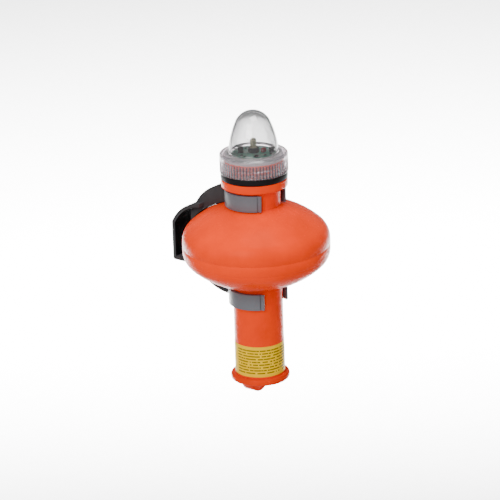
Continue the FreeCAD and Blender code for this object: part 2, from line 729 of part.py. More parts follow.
def tray_outline(inset):
    """Side view of the tray: upright back, curved top and flat bottom, drawn in by an inset."""
    back = WALL_TO_AXIS - inset
    low = TRAY_BOTTOM + inset
    centre = point(*TRAY_ARC_CENTRE)
    radius = TRAY_ARC_RADIUS - inset
    first = math.acos((TRAY_START - centre.x) / radius)
    last = math.acos((back - TRAY_SHOULDER - centre.x) / radius)
    shoulder = centre + polar(radius, last)
    corner = TRAY_CORNER - inset / 2
    corner_centre = point(back - corner, low + corner)
    outline = Outline(centre + polar(radius, first))
    outline.arc(centre + polar(radius, (first + last) / 2), shoulder)
    outline.line(point(back, shoulder.z - 2 * TRAY_SHOULDER), point(back, low + corner))
    outline.arc(corner_centre + polar(corner, -math.pi / 4), point(back - corner, low))
    outline.line(point(TRAY_START, low))
    return outline


def clearance_round_beacon():
    """Space that the bracket keeps free: float, neck, tube and the clips' outsides."""
    spaces = []
    for side, neck in ((1, NECK_RADIUS), (-1, TUBE_RADIUS)):
        outline = half_float(neck, FLOAT_CLEARANCE, side)
        spaces.append(outline.line(point(0, outline.here.z)).turned())
    upper_low, _, upper_outer, _ = UPPER_CLIP
    lower_low, _, lower_outer, _ = LOWER_CLIP
    upper_high = upper_low + CLIP_HEIGHT + BEYOND
    spaces.append(rod(upper_outer + CLIP_SEAT_GAP, SHOULDER_TOP - BEYOND, upper_high))
    spaces.append(rod(lower_outer + CLIP_SEAT_GAP, lower_low - BEYOND, BEYOND - SHOULDER_TOP))
    return spaces


def wall_holes():
    """Bores for the two screws that hold the bracket to the wall, one above the other."""
    towards_wall = FreeCAD.Vector(0, 1, 0)
    start = WALL_TO_AXIS - TRAY_FLANGE - OVERRUN
    length = TRAY_FLANGE + 2 * OVERRUN
    return [
        Part.makeCylinder(WALL_HOLE_RADIUS, length, FreeCAD.Vector(0, start, height), towards_wall)
        for height in WALL_HOLE_HEIGHTS
    ]


def wall_bracket():
    """Curved tray against the wall with an arm to each clip."""
    tray = tray_outline(0).extruded(TRAY_HALF_WIDTH)
    pocket = tray_outline(TRAY_FLANGE).extruded(TRAY_HALF_WIDTH + OVERRUN)
    upper_arm = bracket_arm(UPPER_CLIP[0] + CLIP_HEIGHT, UPPER_ARM)
    lower_arm = bracket_arm(LOWER_ARM_EDGE, LOWER_ARM)
    bracket = facing_wall(fused(tray.cut(pocket), upper_arm, lower_arm))
    bracket = bracket.cut(fused(*clearance_round_beacon()))
    for hole in wall_holes():
        bracket = bracket.cut(hole)
    for _, inner, _, height in (UPPER_CLIP, LOWER_CLIP):
        for side in (-1, 1):
            bracket = bracket.cut(clip_screw(inner, side, height, SLIP))
    return bracket


# ---- the assembly ----
SUBPARTS = {
    "lens_cap": lens_cap,
    "lens_gasket": lens_gasket,
    "upper_float_shell": upper_float_shell,
    "lower_float_shell": lower_float_shell,
    "tail_cap": tail_cap,
    "instruction_label": instruction_label,
    "battery_cell_upper": lambda: battery_cell(CELL_TOP),
    "battery_cell_lower": lambda: battery_cell(CELL_TOP - CELL_LENGTH),
    "battery_spring": battery_spring,
    "contact_strip": contact_strip,
    "lamp_carrier": lamp_carrier,
    "positive_contact": positive_contact,
    "negative_contact": negative_contact,
    "positive_lead": positive_lead,
    "negative_lead": negative_lead,
    "circuit_board": circuit_board,
    "board_screws": board_screws,
    "led_socket": led_socket,
    "led_lamp": led_lamp,
    "tilt_switch_can": tilt_switch_can,
    "tilt_switch_ball": tilt_switch_ball,
    "storage_capacitor": storage_capacitor,
    "driver_transistor": driver_transistor,
    "driver_inductor": driver_inductor,
    "board_resistors": board_resistors,
    "wall_bracket": wall_bracket,
    "upper_clip": lambda: spring_clip(*UPPER_CLIP),
    "lower_clip": lambda: spring_clip(*LOWER_CLIP),
    "clip_screws": clip_screws,
}

os.makedirs("parts", exist_ok=True)
for name, make in SUBPARTS.items():
    shape = make()
    shape.translate(AXIS_AT)
    shape.exportStep("parts/" + name + ".step")
    box = shape.BoundBox
    print(name, shape.ShapeType, len(shape.Solids), shape.isValid(), round(shape.Volume, 1),
          "z", round(box.ZMin, 2), round(box.ZMax, 2))
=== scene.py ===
import math

import bmesh
import bpy
from mathutils import Matrix, Vector


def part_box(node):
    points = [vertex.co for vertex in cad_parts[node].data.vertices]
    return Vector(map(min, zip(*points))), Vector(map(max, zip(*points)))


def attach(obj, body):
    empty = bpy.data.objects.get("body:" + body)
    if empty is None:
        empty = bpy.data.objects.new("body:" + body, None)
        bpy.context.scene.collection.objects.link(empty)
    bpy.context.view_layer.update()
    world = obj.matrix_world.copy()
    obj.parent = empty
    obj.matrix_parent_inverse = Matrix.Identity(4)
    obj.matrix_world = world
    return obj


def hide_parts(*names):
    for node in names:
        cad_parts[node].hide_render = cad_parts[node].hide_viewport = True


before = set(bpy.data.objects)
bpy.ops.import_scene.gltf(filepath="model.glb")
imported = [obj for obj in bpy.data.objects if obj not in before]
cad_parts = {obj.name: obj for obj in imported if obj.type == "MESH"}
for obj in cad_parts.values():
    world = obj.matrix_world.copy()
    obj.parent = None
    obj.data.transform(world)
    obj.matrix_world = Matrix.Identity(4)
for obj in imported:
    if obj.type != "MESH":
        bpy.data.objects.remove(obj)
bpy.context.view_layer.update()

# All sizes below are in millimetres and angles in degrees, unless a comment says otherwise.
# Heights are from the middle of the float, and the wall is at Y = 0, behind the beacon.
MM = 0.001
TAU = 2 * math.pi


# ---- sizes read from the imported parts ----
def low_and_high(node):
    """Lowest and highest corner of a part's box."""
    low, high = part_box(node)
    return low / MM, high / MM


def half_width(node):
    """Half of a part's width from left to right."""
    low, high = low_and_high(node)
    return (high.x - low.x) / 2


def ends(node):
    """Heights of a part's lower and upper end."""
    low, high = low_and_high(node)
    return low.z, high.z


CAP_LOW, CAP_HIGH = low_and_high("lens_cap")
AXIS = Vector((CAP_LOW.x + CAP_HIGH.x, CAP_LOW.y + CAP_HIGH.y, 0)) / 2
RING_RADIUS = half_width("lens_cap")
RING_BOTTOM, DOME_APEX = CAP_LOW.z, CAP_HIGH.z
FLOAT_RADIUS = half_width("lower_float_shell")
TUBE_BOTTOM, TUBE_TOP = ends("lower_float_shell")
SPIGOT_TOP = ends("upper_float_shell")[1]
GASKET_RADIUS = half_width("lens_gasket")
GASKET_BOTTOM = ends("lens_gasket")[0]
LABEL_RADIUS = half_width("instruction_label")
LABEL_BOTTOM, LABEL_TOP = ends("instruction_label")
BOARD_RADIUS = half_width("circuit_board")
LAMP_BOTTOM, LAMP_TOP = ends("led_lamp")

# ---- sizes of the finer shapes ----
SHELL_WALL = 2.4
RIM_STRAIGHT = 4.0               # the rim is upright to this height, above and below
RIM_ARC = 16.0                   # radius of the curve above and below it
SHOULDER_SLOPE = 42.0            # slope from level where that curve ends
SHOULDER_TOP = 33.2              # where the float meets its neck and its tube
NECK_RADIUS = 20.7
TUBE_RADIUS = 20.0
BORE_RADIUS = 17.8
COLLAR_RADIUS = 26.6
COLLAR_BOTTOM = 48.8
SPIGOT_RADIUS = 23.5
COUNTERBORE = (20.6, 52.0)       # radius and floor
SOCKET_INNER, SOCKET_OUTER, SOCKET_BOTTOM = 20.1, 22.5, 8.0    # takes the tube's upper end
JOIN_HEIGHT = 30.0               # where an inner wall meets the float's inside
WALL_CLEARANCE = 0.5             # the float's inside stops this far from a tube
LIP_HEIGHT = 3.0                 # lip of the lower shell that locates the upper one
LIP_WALL = 1.4
LIP_CLEARANCE = 0.1
SEAM_DEPTH = 0.12                # where the two shells are welded
SEAM_WIDTH = 0.2
CREASE_HEIGHT = -9.0             # shallow moulded line round the lower shell
CREASE_DEPTH = 0.3
CREASE_HALF_WIDTH = 0.7
GASKET_BORE = 23.8
GASKET_EDGE = 0.5                # how far its sides slope in at the top and bottom edge

RING_TOP = 77.0
RING_BORE = 25.0
RING_SHOULDER = 2.3
ROOF_CORNER = 0.5
ROOF_UNDERSIDE = 74.6
DOME_CROWN = 15.2                # radius of the round top
DOME_SHOULDER = 13.9             # distance from the axis where the round top ends
DOME_BASE = 20.1
DOME_WALL = 1.7
DOME_FOOT = 1.2                  # fillet where the dome leaves the ring
RIBS = 64
RIB_DEPTH = 0.7
RIB_BAND = (RING_BOTTOM + 0.8, 71.8)
RIB_END = 0.6                    # height over which a rib runs out
RIB_POWER = 0.8                  # below 1 it makes the grooves wider

THREAD_PITCH = 4.0
THREAD_TURNS = 1.5
THREAD_ROOT, THREAD_CREST = 0.9, 0.5     # half its height at the wall and at its top
THREAD_RUN_IN = 12.0             # angle over which it rises from the wall at each end
THREAD_LAPS = 2                  # laps round the axis that it reaches into
SPIGOT_THREAD = (63.2, 30.0, 1.1)    # height at +X, first angle, how far it stands out
RING_THREAD = (61.2, 90.0, -1.0)     # the same, standing inwards

BACK = 90.0                      # angle of the wall, seen from the axis
LABEL_GAP = 16.0                 # bare stretch at the back, round the tube
LABEL_LIFT = 0.02                # film of glue under the label
LABEL_STEPS = 160

LAMP_RADIUS = 2.5
LAMP_FOOT = (2.9, 1.0)           # radius and height of the rim at its foot
CUP_RADIUS = 2.2
CUP_ENDS = (0.2, 4.2)            # heights above the lamp's foot
CUP_DEPTH = 0.6

GAP_SHADE_TOP, GAP_SHADE_BOTTOM = 0.95, 0.2  # heights of the strip of painted shade under the arm, above the float's surface
GAP_SHADE_REACH = (24.5, 36.0)         # inner and outer radius of the strip
GAP_SHADE_SPREAD = 12.5                # half its width, round the axis
GAP_SHADE_STEPS = 24

TRAY_MOUTH = -25.0               # Y of the tray's open side; its inside is from there to the wall
DOWN_WEIGHT = 0.5                # how much looking down counts beside looking at the float
RECESS_LIMIT = 0.3               # a face is in the recess, and gets the painted shade, where the sum of both passes this

FINE_STEPS = 240                 # round the float
CAP_STEPS = 512                  # round the lens cap, eight to a rib
SMALL_STEPS = 48
RIM_STEPS, SHOULDER_STEPS, DOME_STEPS = 48, 28, 24
FLAT_ANGLE = 0.6                 # faces that meet at less than this are joined
SAME_WALL = 0.01                 # points this near a wall's radius are on that wall
SAME_POINT, SAME_CAD_POINT = 1e-4, 1e-3  # points this near each other are joined
TINY_EDGE = 1e-5                 # edges shorter than this are taken out

FLOOR_DROP = 600.0               # floor below the float's middle
FLOOR_REACH = 9000.0             # half the floor's side

VIEW_AZIMUTH = -52.0
VIEW_ELEVATION = 19.3
VIEW_ROLL = 1.85
VIEW_DISTANCE = 2200.0
PICTURE_WIDTH = 399.7            # what the picture spans at the beacon
AIM_RIGHT, AIM_UP = -5.1, -5.6   # from the float's middle to the picture's
SENSOR = 36.0
CAMERA_REACH = 20000.0           # nothing farther off is drawn
SKY_STRENGTH = 0.4               # brightness of the even light


# ---- outlines, as lists of (radius, height) ----
def arc(centre, radius, first, last, steps=16):
    """Points on an arc, angles in radians."""
    turns = [first + (last - first) * k / steps for k in range(steps + 1)]
    return [(centre[0] + radius * math.cos(t), centre[1] + radius * math.sin(t)) for t in turns]


def softened(corners, steps=4):
    """Corners given as (radius, height, rounding), each rounded off by that much."""
    points = []
    for k, (r, z, rounding) in enumerate(corners):
        here = Vector((r, z))
        if rounding <= 0:
            points.append((r, z))
            continue
        before = Vector(corners[k - 1][:2])
        after = Vector(corners[(k + 1) % len(corners)][:2])
        begin = here + (before - here).normalized() * rounding
        end = here + (after - here).normalized() * rounding
        for j in range(steps + 1):
            t = j / steps
            place = begin * (1 - t) ** 2 + here * 2 * t * (1 - t) + end * t ** 2
            points.append((place.x, place.y))
    return points


def climbing(radius, low, high, step=0.35):
    """Points up a straight wall, close enough together to carry ribs or a thread."""
    count = max(1, round(abs(high - low) / step))
    return [(radius, low + (high - low) * k / count) for k in range(count + 1)]


def joined_arc(joint, outward, end):
    """Centre and radius of the arc that leaves a joint square to a direction and reaches an end."""
    chord = end - joint
    radius = -chord.dot(chord) / (2 * outward.dot(chord))
    return joint - radius * outward, radius


def shoulder_curve(neck, offset, side):
    """The float's outer curve from its upright rim to the neck or tube."""
    turn = math.radians(90 - SHOULDER_SLOPE)
    outward = Vector((math.cos(turn), math.sin(turn)))
    rim_centre = Vector((FLOAT_RADIUS - RIM_ARC, RIM_STRAIGHT))
    joint = rim_centre + RIM_ARC * outward
    centre, radius = joined_arc(joint, outward, Vector((neck, SHOULDER_TOP)))
    last = math.atan2(SHOULDER_TOP - centre.y, neck - centre.x)
    curve = arc(rim_centre, RIM_ARC + offset, 0, turn, RIM_STEPS)
    curve += arc(centre, radius + offset, turn, last, SHOULDER_STEPS)[1:]
    return [(r, side * z) for r, z in curve]


def dome_curve(inset):
    """Side and crown of the dome, from its foot to its top."""
    crown = Vector((0, DOME_APEX - DOME_CROWN))
    turn = math.acos(DOME_SHOULDER / DOME_CROWN)
    outward = Vector((math.cos(turn), math.sin(turn)))
    joint = crown + DOME_CROWN * outward
    centre, radius = joined_arc(joint, outward, Vector((DOME_BASE, RING_TOP)))
    foot = math.atan2(RING_TOP - centre.y, DOME_BASE - centre.x)
    side = arc(centre, radius - inset, foot, turn, DOME_STEPS)
    return side + arc(crown, DOME_CROWN - inset, turn, math.pi / 2, DOME_STEPS)[1:]


# ---- turning outlines into meshes ----
def round_place(angle, radius, height):
    """A point at an angle and radius round the axis."""
    return AXIS.x + radius * math.cos(angle), AXIS.y + radius * math.sin(angle), height


def side_faces(count, rings):
    """Faces between pairs of rings, where each ring has that many points."""
    faces = []
    for here, there in rings:
        for j in range(count):
            n = (j + 1) % count
            faces.append((here * count + j, there * count + j, there * count + n, here * count + n))
    return faces


def turned(outline, steps, shape=None):
    """Points and faces of a closed outline turned all round the axis."""
    points = []
    for k in range(steps):
        angle = TAU * k / steps
        for r, z in outline:
            radius = shape(angle, r, z) if shape else r
            points.append(round_place(angle, radius, z))
    return points, side_faces(len(outline), [(k, (k + 1) % steps) for k in range(steps)])


def part_turned(outline, steps, first, last):
    """Points and faces of a closed outline turned part of the way round, with flat ends."""
    points = []
    for k in range(steps + 1):
        angle = first + (last - first) * k / steps
        points += [round_place(angle, r, z) for r, z in outline]
    count = len(outline)
    faces = side_faces(count, [(k, k + 1) for k in range(steps)])
    faces.append(tuple(range(count)))
    faces.append(tuple(steps * count + j for j in range(count)))
    return points, faces


def add_piece(name, points, faces, body, material, replaces=(), sharp=35):
    """A piece made from points in millimetres, with doubled points joined."""
    work = bmesh.new()
    corners = [work.verts.new(Vector(p) * MM) for p in points]
    for face in faces:
        work.faces.new([corners[k] for k in face])
    bmesh.ops.remove_doubles(work, verts=work.verts, dist=SAME_POINT * MM)
    bmesh.ops.dissolve_degenerate(work, edges=work.edges, dist=TINY_EDGE * MM)
    return finish_piece(name, work, body, material, replaces, sharp)


def finish_piece(name, work, body, material, replaces=(), sharp=35):
    """A mesh shaded smooth up to its sharp edges, in one material, that rides on a body."""
    bmesh.ops.recalc_face_normals(work, faces=work.faces)
    mesh = bpy.data.meshes.new(name)
    work.to_mesh(mesh)
    work.free()
    mesh.shade_smooth()
    mesh.set_sharp_from_angle(angle=math.radians(sharp))
    mesh.materials.append(material)
    piece = bpy.data.objects.new(name, mesh)
    bpy.context.scene.collection.objects.link(piece)
    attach(piece, body)
    if replaces:
        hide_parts(*replaces)
    return piece


def refined(node, body, material, bevel, sharp=35):
    """A copy of a CAD node whose hard edges are rounded over."""
    work = bmesh.new()
    work.from_mesh(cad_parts[node].data)
    bmesh.ops.remove_doubles(work, verts=work.verts, dist=SAME_CAD_POINT * MM)
    flat = math.radians(FLAT_ANGLE)
    bmesh.ops.dissolve_limit(work, angle_limit=flat, verts=work.verts, edges=work.edges)
    hard = [e for e in work.edges if e.is_manifold and e.calc_face_angle() > math.radians(sharp)]
    bmesh.ops.bevel(work, geom=hard, offset=bevel * MM, offset_type="OFFSET", segments=2,
                    profile=0.5, affect="EDGES", clamp_overlap=True)
    return finish_piece(node + "_shown", work, body, material, (node,), sharp)


def thread_height(angle, z, thread):
    """How far a thread stands out of its wall at an angle and height."""
    start_height, first, rise = thread
    best = 0.0
    for lap in range(THREAD_LAPS):
        turn = math.degrees(angle) + 360 * lap
        along = min(turn - first, first + 360 * THREAD_TURNS - turn)
        if along < 0:
            continue
        off = abs(z - start_height - THREAD_PITCH * turn / 360)
        share = min(1, max(0, (THREAD_ROOT - off) / (THREAD_ROOT - THREAD_CREST)))
        best = max(best, share * min(1, along / THREAD_RUN_IN))
    return rise * best


# ---- building materials from nodes ----
def add_node(tree, kind, inputs=None, **settings):
    """One node with its settings, and inputs given as values or as sockets to link."""
    made = tree.nodes.new("ShaderNode" + kind)
    for key, value in settings.items():
        setattr(made, key, value)
    for key, value in (inputs or {}).items():
        if isinstance(value, bpy.types.NodeSocket):
            tree.links.new(value, made.inputs[key])
        else:
            made.inputs[key].default_value = value
    return made


def calc(tree, operation, a, b=0.0, c=0.0):
    """The result of one Math node."""
    return add_node(tree, "Math", {0: a, 1: b, 2: c}, operation=operation).outputs[0]


def spread(tree, value, low, high, new_low=0.0, new_high=1.0):
    """Maps a value from one range to another, held within the new one; either may run down."""
    inputs = {"Value": value, 1: low, 2: high, 3: new_low, 4: new_high}
    return add_node(tree, "MapRange", inputs).outputs[0]


def blended(tree, factor, first, second):
    """Runs from the first colour to the second as the factor goes from 0 to 1."""
    made = add_node(tree, "Mix", {0: factor, 6: first, 7: second}, data_type="RGBA")
    return made.outputs[2]


def noise(tree, scale, detail=3.0, stretch=(1, 1, 1)):
    """Noise over the object's own coordinates; scale is in waves per metre."""
    where = add_node(tree, "TexCoord").outputs["Object"]
    where = add_node(tree, "Mapping", {"Vector": where, "Scale": stretch}).outputs[0]
    inputs = {"Vector": where, "Scale": scale, "Detail": detail, "Roughness": 0.55}
    return add_node(tree, "TexNoise", inputs).outputs["Fac"]


def round_axis(tree):
    """Radius, angle in degrees and height of a point of the beacon, in millimetres."""
    where = add_node(tree, "TexCoord").outputs["Object"]
    parts = add_node(tree, "SeparateXYZ", {0: where}).outputs
    x = calc(tree, "MULTIPLY_ADD", parts[0], 1 / MM, -AXIS.x)
    y = calc(tree, "MULTIPLY_ADD", parts[1], 1 / MM, -AXIS.y)
    squares = calc(tree, "MULTIPLY_ADD", x, x, calc(tree, "MULTIPLY", y, y))
    angle = calc(tree, "DEGREES", calc(tree, "ARCTAN2", y, x))
    return calc(tree, "SQRT", squares), angle, calc(tree, "DIVIDE", parts[2], MM)


def between(tree, value, low, high):
    """1 where the value lies between two limits, else 0."""
    above = calc(tree, "GREATER_THAN", value, low)
    return calc(tree, "MULTIPLY", above, calc(tree, "LESS_THAN", value, high))


def mottled(tree, scale, first, second):
    """Two near colours in soft clouds of the given waves per metre."""
    return blended(tree, noise(tree, scale), (*first, 1), (*second, 1))


def shaded(colour, amount):
    """A colour made lighter or darker."""
    return tuple(min(1.0, c * amount) for c in colour) + (1.0,)


def new_material(name):
    """A material with its node tree and its shader."""
    material = bpy.data.materials.new(name)
    material.use_nodes = True
    return material, material.node_tree, material.node_tree.nodes["Principled BSDF"]


def bumped(tree, shader, height, distance):
    """Bumps as deep as the distance, in millimetres, where the height is 1."""
    inputs = {"Height": height, "Distance": distance * MM, "Strength": 1.0}
    tree.links.new(add_node(tree, "Bump", inputs).outputs[0], shader.inputs["Normal"])


# waves per metre of the patterns on moulded and metal surfaces
CLOUDS, SPECKS, PATCHES, GRAIN, SCRATCHES = 45, 900, 120, 1600, 260
SCRATCH_STRETCH = (1, 1, 14)     # squeezes the scratches in height, so that they run level
WORN_SHADE = 1.6                 # how much paler a worn edge is


def surface(name, colour, roughness, variation=0.08, grain=0.02, wear=0.15, metallic=0.0,
            scratches=0.01, specular=0.5, gloss_tint=(1.0, 1.0, 1.0)):
    """Moulded or metal surface: cloudy colour, fine grain, light scratches, paler worn edges."""
    material, tree, shader = new_material(name)
    clouds = spread(tree, noise(tree, CLOUDS), 0.35, 0.65)
    base = blended(tree, clouds, shaded(colour, 1 - variation), shaded(colour, 1 + variation))
    specks = spread(tree, noise(tree, SPECKS, 2), 0.62, 0.75, 0, 0.35)
    base = blended(tree, specks, base, shaded(colour, 1 - 2 * variation))
    edges = add_node(tree, "NewGeometry").outputs["Pointiness"]
    edges = spread(tree, edges, 0.52, 0.60, 0, wear)
    base = blended(tree, edges, base, shaded(colour, WORN_SHADE))
    tree.links.new(base, shader.inputs["Base Color"])
    patchy = spread(tree, noise(tree, PATCHES, 4), 0.3, 0.7, roughness * 0.85, roughness * 1.18)
    tree.links.new(patchy, shader.inputs["Roughness"])
    shader.inputs["Metallic"].default_value = metallic
    shader.inputs["Specular IOR Level"].default_value = specular
    shader.inputs["Specular Tint"].default_value = (*gloss_tint, 1)
    fine = noise(tree, GRAIN, 2)
    lines = noise(tree, SCRATCHES, 2, SCRATCH_STRETCH)
    height = calc(tree, "MULTIPLY_ADD", lines, scratches, calc(tree, "MULTIPLY", fine, grain))
    bumped(tree, shader, height, 1.0)
    return material


PLASTIC_IOR = 1.5
DOME_TINT, DOME_TINT_PALE = (0.54, 0.54, 0.54), (0.61, 0.605, 0.61)
RING_TINT = (0.86, 0.80, 0.84)
# painted shade: dark colour in the grooves between the ring's ribs
GROOVE_SHADE_TINT = (0.16, 0.09, 0.11)
DOME_CLEARNESS = 0.95            # transmission of the dome
RING_LOSS, GROOVE_SHADE_LOSS = 0.06, 0.42      # taken from it in the ring, and in its grooves as part of their painted shade
RING_HAZE = 0.12                 # added to the roughness in the ring
LAMP_CLEARNESS = 0.45


def clear_plastic():
    """Clear moulding: a polished dome, a hazier screw ring, and grooves between its ribs darkened with
    painted shade.
    """
    material, tree, shader = new_material("clear_plastic")
    radius, angle, height = round_axis(tree)
    ring = spread(tree, radius, DOME_BASE + 0.3, DOME_BASE + 1.5)
    wave = calc(tree, "COSINE", calc(tree, "MULTIPLY", angle, math.radians(RIBS / 2)))
    # the grooves between the ribs, where the painted shade goes
    grooves = spread(tree, calc(tree, "ABSOLUTE", wave), 0.85, 0.35)
    below_top = spread(tree, height, RIB_BAND[1] + 0.3, RIB_BAND[1] - 0.5)
    outer_wall = spread(tree, radius, RING_BORE + 0.8, RING_BORE + 1.2)
    grooves = calc(tree, "MULTIPLY", calc(tree, "MULTIPLY", grooves, below_top), outer_wall)
    tint = mottled(tree, 60, DOME_TINT, DOME_TINT_PALE)
    tint = blended(tree, ring, tint, (*RING_TINT, 1))
    tint = blended(tree, grooves, tint, (*GROOVE_SHADE_TINT, 1))
    tree.links.new(tint, shader.inputs["Base Color"])
    haze = spread(tree, noise(tree, 150, 4), 0.3, 0.8, 0.01, 0.05)
    haze = calc(tree, "MULTIPLY_ADD", ring, RING_HAZE, haze)
    tree.links.new(haze, shader.inputs["Roughness"])
    clearness = calc(tree, "MULTIPLY_ADD", ring, -RING_LOSS, DOME_CLEARNESS)
    clearness = calc(tree, "MULTIPLY_ADD", grooves, -GROOVE_SHADE_LOSS, clearness)
    tree.links.new(clearness, shader.inputs["Transmission Weight"])
    shader.inputs["IOR"].default_value = PLASTIC_IOR
    bumped(tree, shader, noise(tree, 70, 2), 0.03)
    return material


def lamp_resin():
    """Slightly milky casting resin of the lamp."""
    material, tree, shader = new_material("led_resin")
    tint = mottled(tree, 300, (0.95, 0.86, 0.58), (1.0, 0.94, 0.70))
    tree.links.new(tint, shader.inputs["Base Color"])
    tree.links.new(spread(tree, noise(tree, 700), 0.3, 0.7, 0.03, 0.10), shader.inputs["Roughness"])
    shader.inputs["Transmission Weight"].default_value = LAMP_CLEARNESS
    shader.inputs["IOR"].default_value = PLASTIC_IOR
    bumped(tree, shader, noise(tree, 900, 2), 0.01)
    return material


PAD_CELLS, TRACK_CELLS = 330.0, 210.0    # cells per metre of the patterns of pads and tracks
BARE_CELLS = 0.55                # share of those cells that carry no pad
LACQUER, LACQUER_PALE = (0.11, 0.40, 0.28, 1), (0.28, 0.60, 0.47, 1)
TRACK_GREEN = (0.38, 0.60, 0.49, 1)
TIN = (0.83, 0.85, 0.84, 1)


def board_finish():
    """Pale green lacquered board with tinned pads and faint tracks."""
    material, tree, shader = new_material("board_laminate")
    where = add_node(tree, "TexCoord").outputs["Object"]
    cells = add_node(tree, "TexVoronoi", {"Vector": where, "Scale": PAD_CELLS}, distance="CHEBYCHEV")
    pads = spread(tree, cells.outputs["Distance"], 0.30, 0.34, 1, 0)
    chosen = add_node(tree, "SeparateColor", {0: cells.outputs["Color"]}).outputs[0]
    pads = calc(tree, "MULTIPLY", pads, spread(tree, chosen, BARE_CELLS, BARE_CELLS + 0.01))
    inputs = {"Vector": where, "Scale": TRACK_CELLS}
    lines = add_node(tree, "TexVoronoi", inputs, feature="DISTANCE_TO_EDGE")
    tracks = spread(tree, lines.outputs["Distance"], 0.05, 0.07, 1, 0)
    clouds = spread(tree, noise(tree, 120), 0.4, 0.6)
    lacquer = blended(tree, clouds, LACQUER, LACQUER_PALE)
    base = blended(tree, calc(tree, "MULTIPLY", tracks, 0.55), lacquer, TRACK_GREEN)
    base = blended(tree, pads, base, TIN)
    tree.links.new(base, shader.inputs["Base Color"])
    tree.links.new(spread(tree, pads, 0, 1, 0.35, 0.22), shader.inputs["Roughness"])
    height = calc(tree, "MULTIPLY_ADD", tracks, 0.3, calc(tree, "MULTIPLY", pads, 0.5))
    bumped(tree, shader, height, 0.1)
    return material


ROW_PITCH = 2.4
ROWS = 9.0                       # rows of small print on the label
LABEL_MARGIN = 2.2
COLUMNS = ((-201.0, -66.0), (-60.0, -10.0))     # where print starts and stops, round the tube
DASH_SCALE = 0.17                # length of the dashes; smaller is longer
ROW_OFFSET = 7.3                 # sets each row's dashes apart from its neighbours'


def label_print(tree):
    """1 where a dash of print is: rows of short strokes in two columns, with blank margins."""
    _, angle, height = round_axis(tree)
    past_back = calc(tree, "GREATER_THAN", angle, BACK)
    angle = calc(tree, "MULTIPLY_ADD", past_back, -360.0, angle)
    down = calc(tree, "SUBTRACT", LABEL_TOP - LABEL_MARGIN, height)
    row = calc(tree, "DIVIDE", down, ROW_PITCH)
    off_middle = calc(tree, "ABSOLUTE", calc(tree, "SUBTRACT", calc(tree, "FRACT", row), 0.5))
    stroke = spread(tree, off_middle, 0.20, 0.30, 1, 0)
    along = calc(tree, "MULTIPLY", angle, DASH_SCALE)
    down_rows = calc(tree, "MULTIPLY", calc(tree, "FLOOR", row), ROW_OFFSET)
    place = add_node(tree, "CombineXYZ", {0: along, 1: down_rows}).outputs[0]
    words = add_node(tree, "TexNoise", {"Vector": place, "Scale": 1.0, "Detail": 1.0}).outputs["Fac"]
    shown = calc(tree, "MULTIPLY", stroke, spread(tree, words, 0.38, 0.44))
    shown = calc(tree, "MULTIPLY", shown, between(tree, row, 0.0, ROWS))
    first, second = (between(tree, angle, *column) for column in COLUMNS)
    return calc(tree, "MULTIPLY", shown, calc(tree, "ADD", first, second))


FILM, FILM_PALE = (0.92, 0.56, 0.0001, 1), (0.98, 0.62, 0.0001, 1)
INK = (0.16, 0.09, 0.002, 1)


def label_finish():
    """Yellow film with rows of plain dashes for its print."""
    material, tree, shader = new_material("label_film")
    film = blended(tree, spread(tree, noise(tree, 60), 0.35, 0.65), FILM, FILM_PALE)
    base = blended(tree, calc(tree, "MULTIPLY", label_print(tree), 0.85), film, INK)
    tree.links.new(base, shader.inputs["Base Color"])
    tree.links.new(spread(tree, noise(tree, 200, 4), 0.3, 0.7, 0.30, 0.45), shader.inputs["Roughness"])
    shader.inputs["Specular IOR Level"].default_value = 0.04
    shader.inputs["Specular Tint"].default_value = (1.0, 0.85, 0.4, 1)
    bumped(tree, shader, noise(tree, 140, 2), 0.05)
    return material


# ---- the materials: colour, roughness, variation, grain and wear ----
ORANGE = (0.92, 0.047, 0.0004)
TAIL_ORANGE = (0.78, 0.037, 0.0006)
WARM_GLOSS = (1.0, 0.48, 0.30)
orange = surface("orange_plastic", ORANGE, 0.28, 0.07, 0.004, 0.05,
                 scratches=0.004, specular=0.06, gloss_tint=WARM_GLOSS)
tail_orange = surface("tail_plastic", TAIL_ORANGE, 0.34, 0.08, 0.006, 0.10,
                      specular=0.06, gloss_tint=WARM_GLOSS)
rubber = surface("black_rubber", (0.006, 0.005, 0.006), 0.55, 0.15, 0.02, 0.1, specular=0.15)
bracket_grey = surface("bracket_plastic", (0.042, 0.040, 0.042), 0.50, 0.12, 0.02, 0.3, specular=0.12)
# painted shade: near-black colour for the tray's recess, which is dark from shade
recess_painted_shade = surface("bracket_recess_painted_shade", (0.004, 0.004, 0.0045), 0.85, 0.2, 0.02, 0.0, specular=0.02)
clip_grey = surface("clip_plastic", (0.125, 0.132, 0.148), 0.38, 0.07, 0.015, 0.25, specular=0.35)
steel = surface("stainless", (0.58, 0.58, 0.57), 0.26, 0.08, 0.004, 0.3, metallic=1.0)
plated = surface("nickel", (0.66, 0.62, 0.54), 0.30, 0.08, 0.004, 0.3, metallic=1.0)
brass = surface("brass", (0.72, 0.48, 0.18), 0.30, 0.10, 0.004, 0.3, metallic=1.0)
cell_film = surface("cell_jacket", (0.06, 0.09, 0.16), 0.30, 0.12, 0.004, 0.2)
carrier_white = surface("carrier_plastic", (0.66, 0.66, 0.64), 0.42, 0.05, 0.01, 0.2)
black_part = surface("component_black", (0.013, 0.013, 0.014), 0.38, 0.2, 0.01, 0.5)
red_part = surface("capacitor_red", (0.46, 0.045, 0.05), 0.28, 0.12, 0.01, 0.3)
sleeve_red = surface("lead_insulation", (0.35, 0.02, 0.02), 0.45, 0.1, 0.01, 0.2)
floor_white = surface("floor", (0.88, 0.88, 0.88), 0.8, 0.01, 0.0, 0.0, scratches=0.0)
clear = clear_plastic()
resin = lamp_resin()
chip = surface("lamp_chip", (1.0, 0.93, 0.55), 0.35, 0.10, 0.01, 0.2)
laminate = board_finish()
label_film = label_finish()


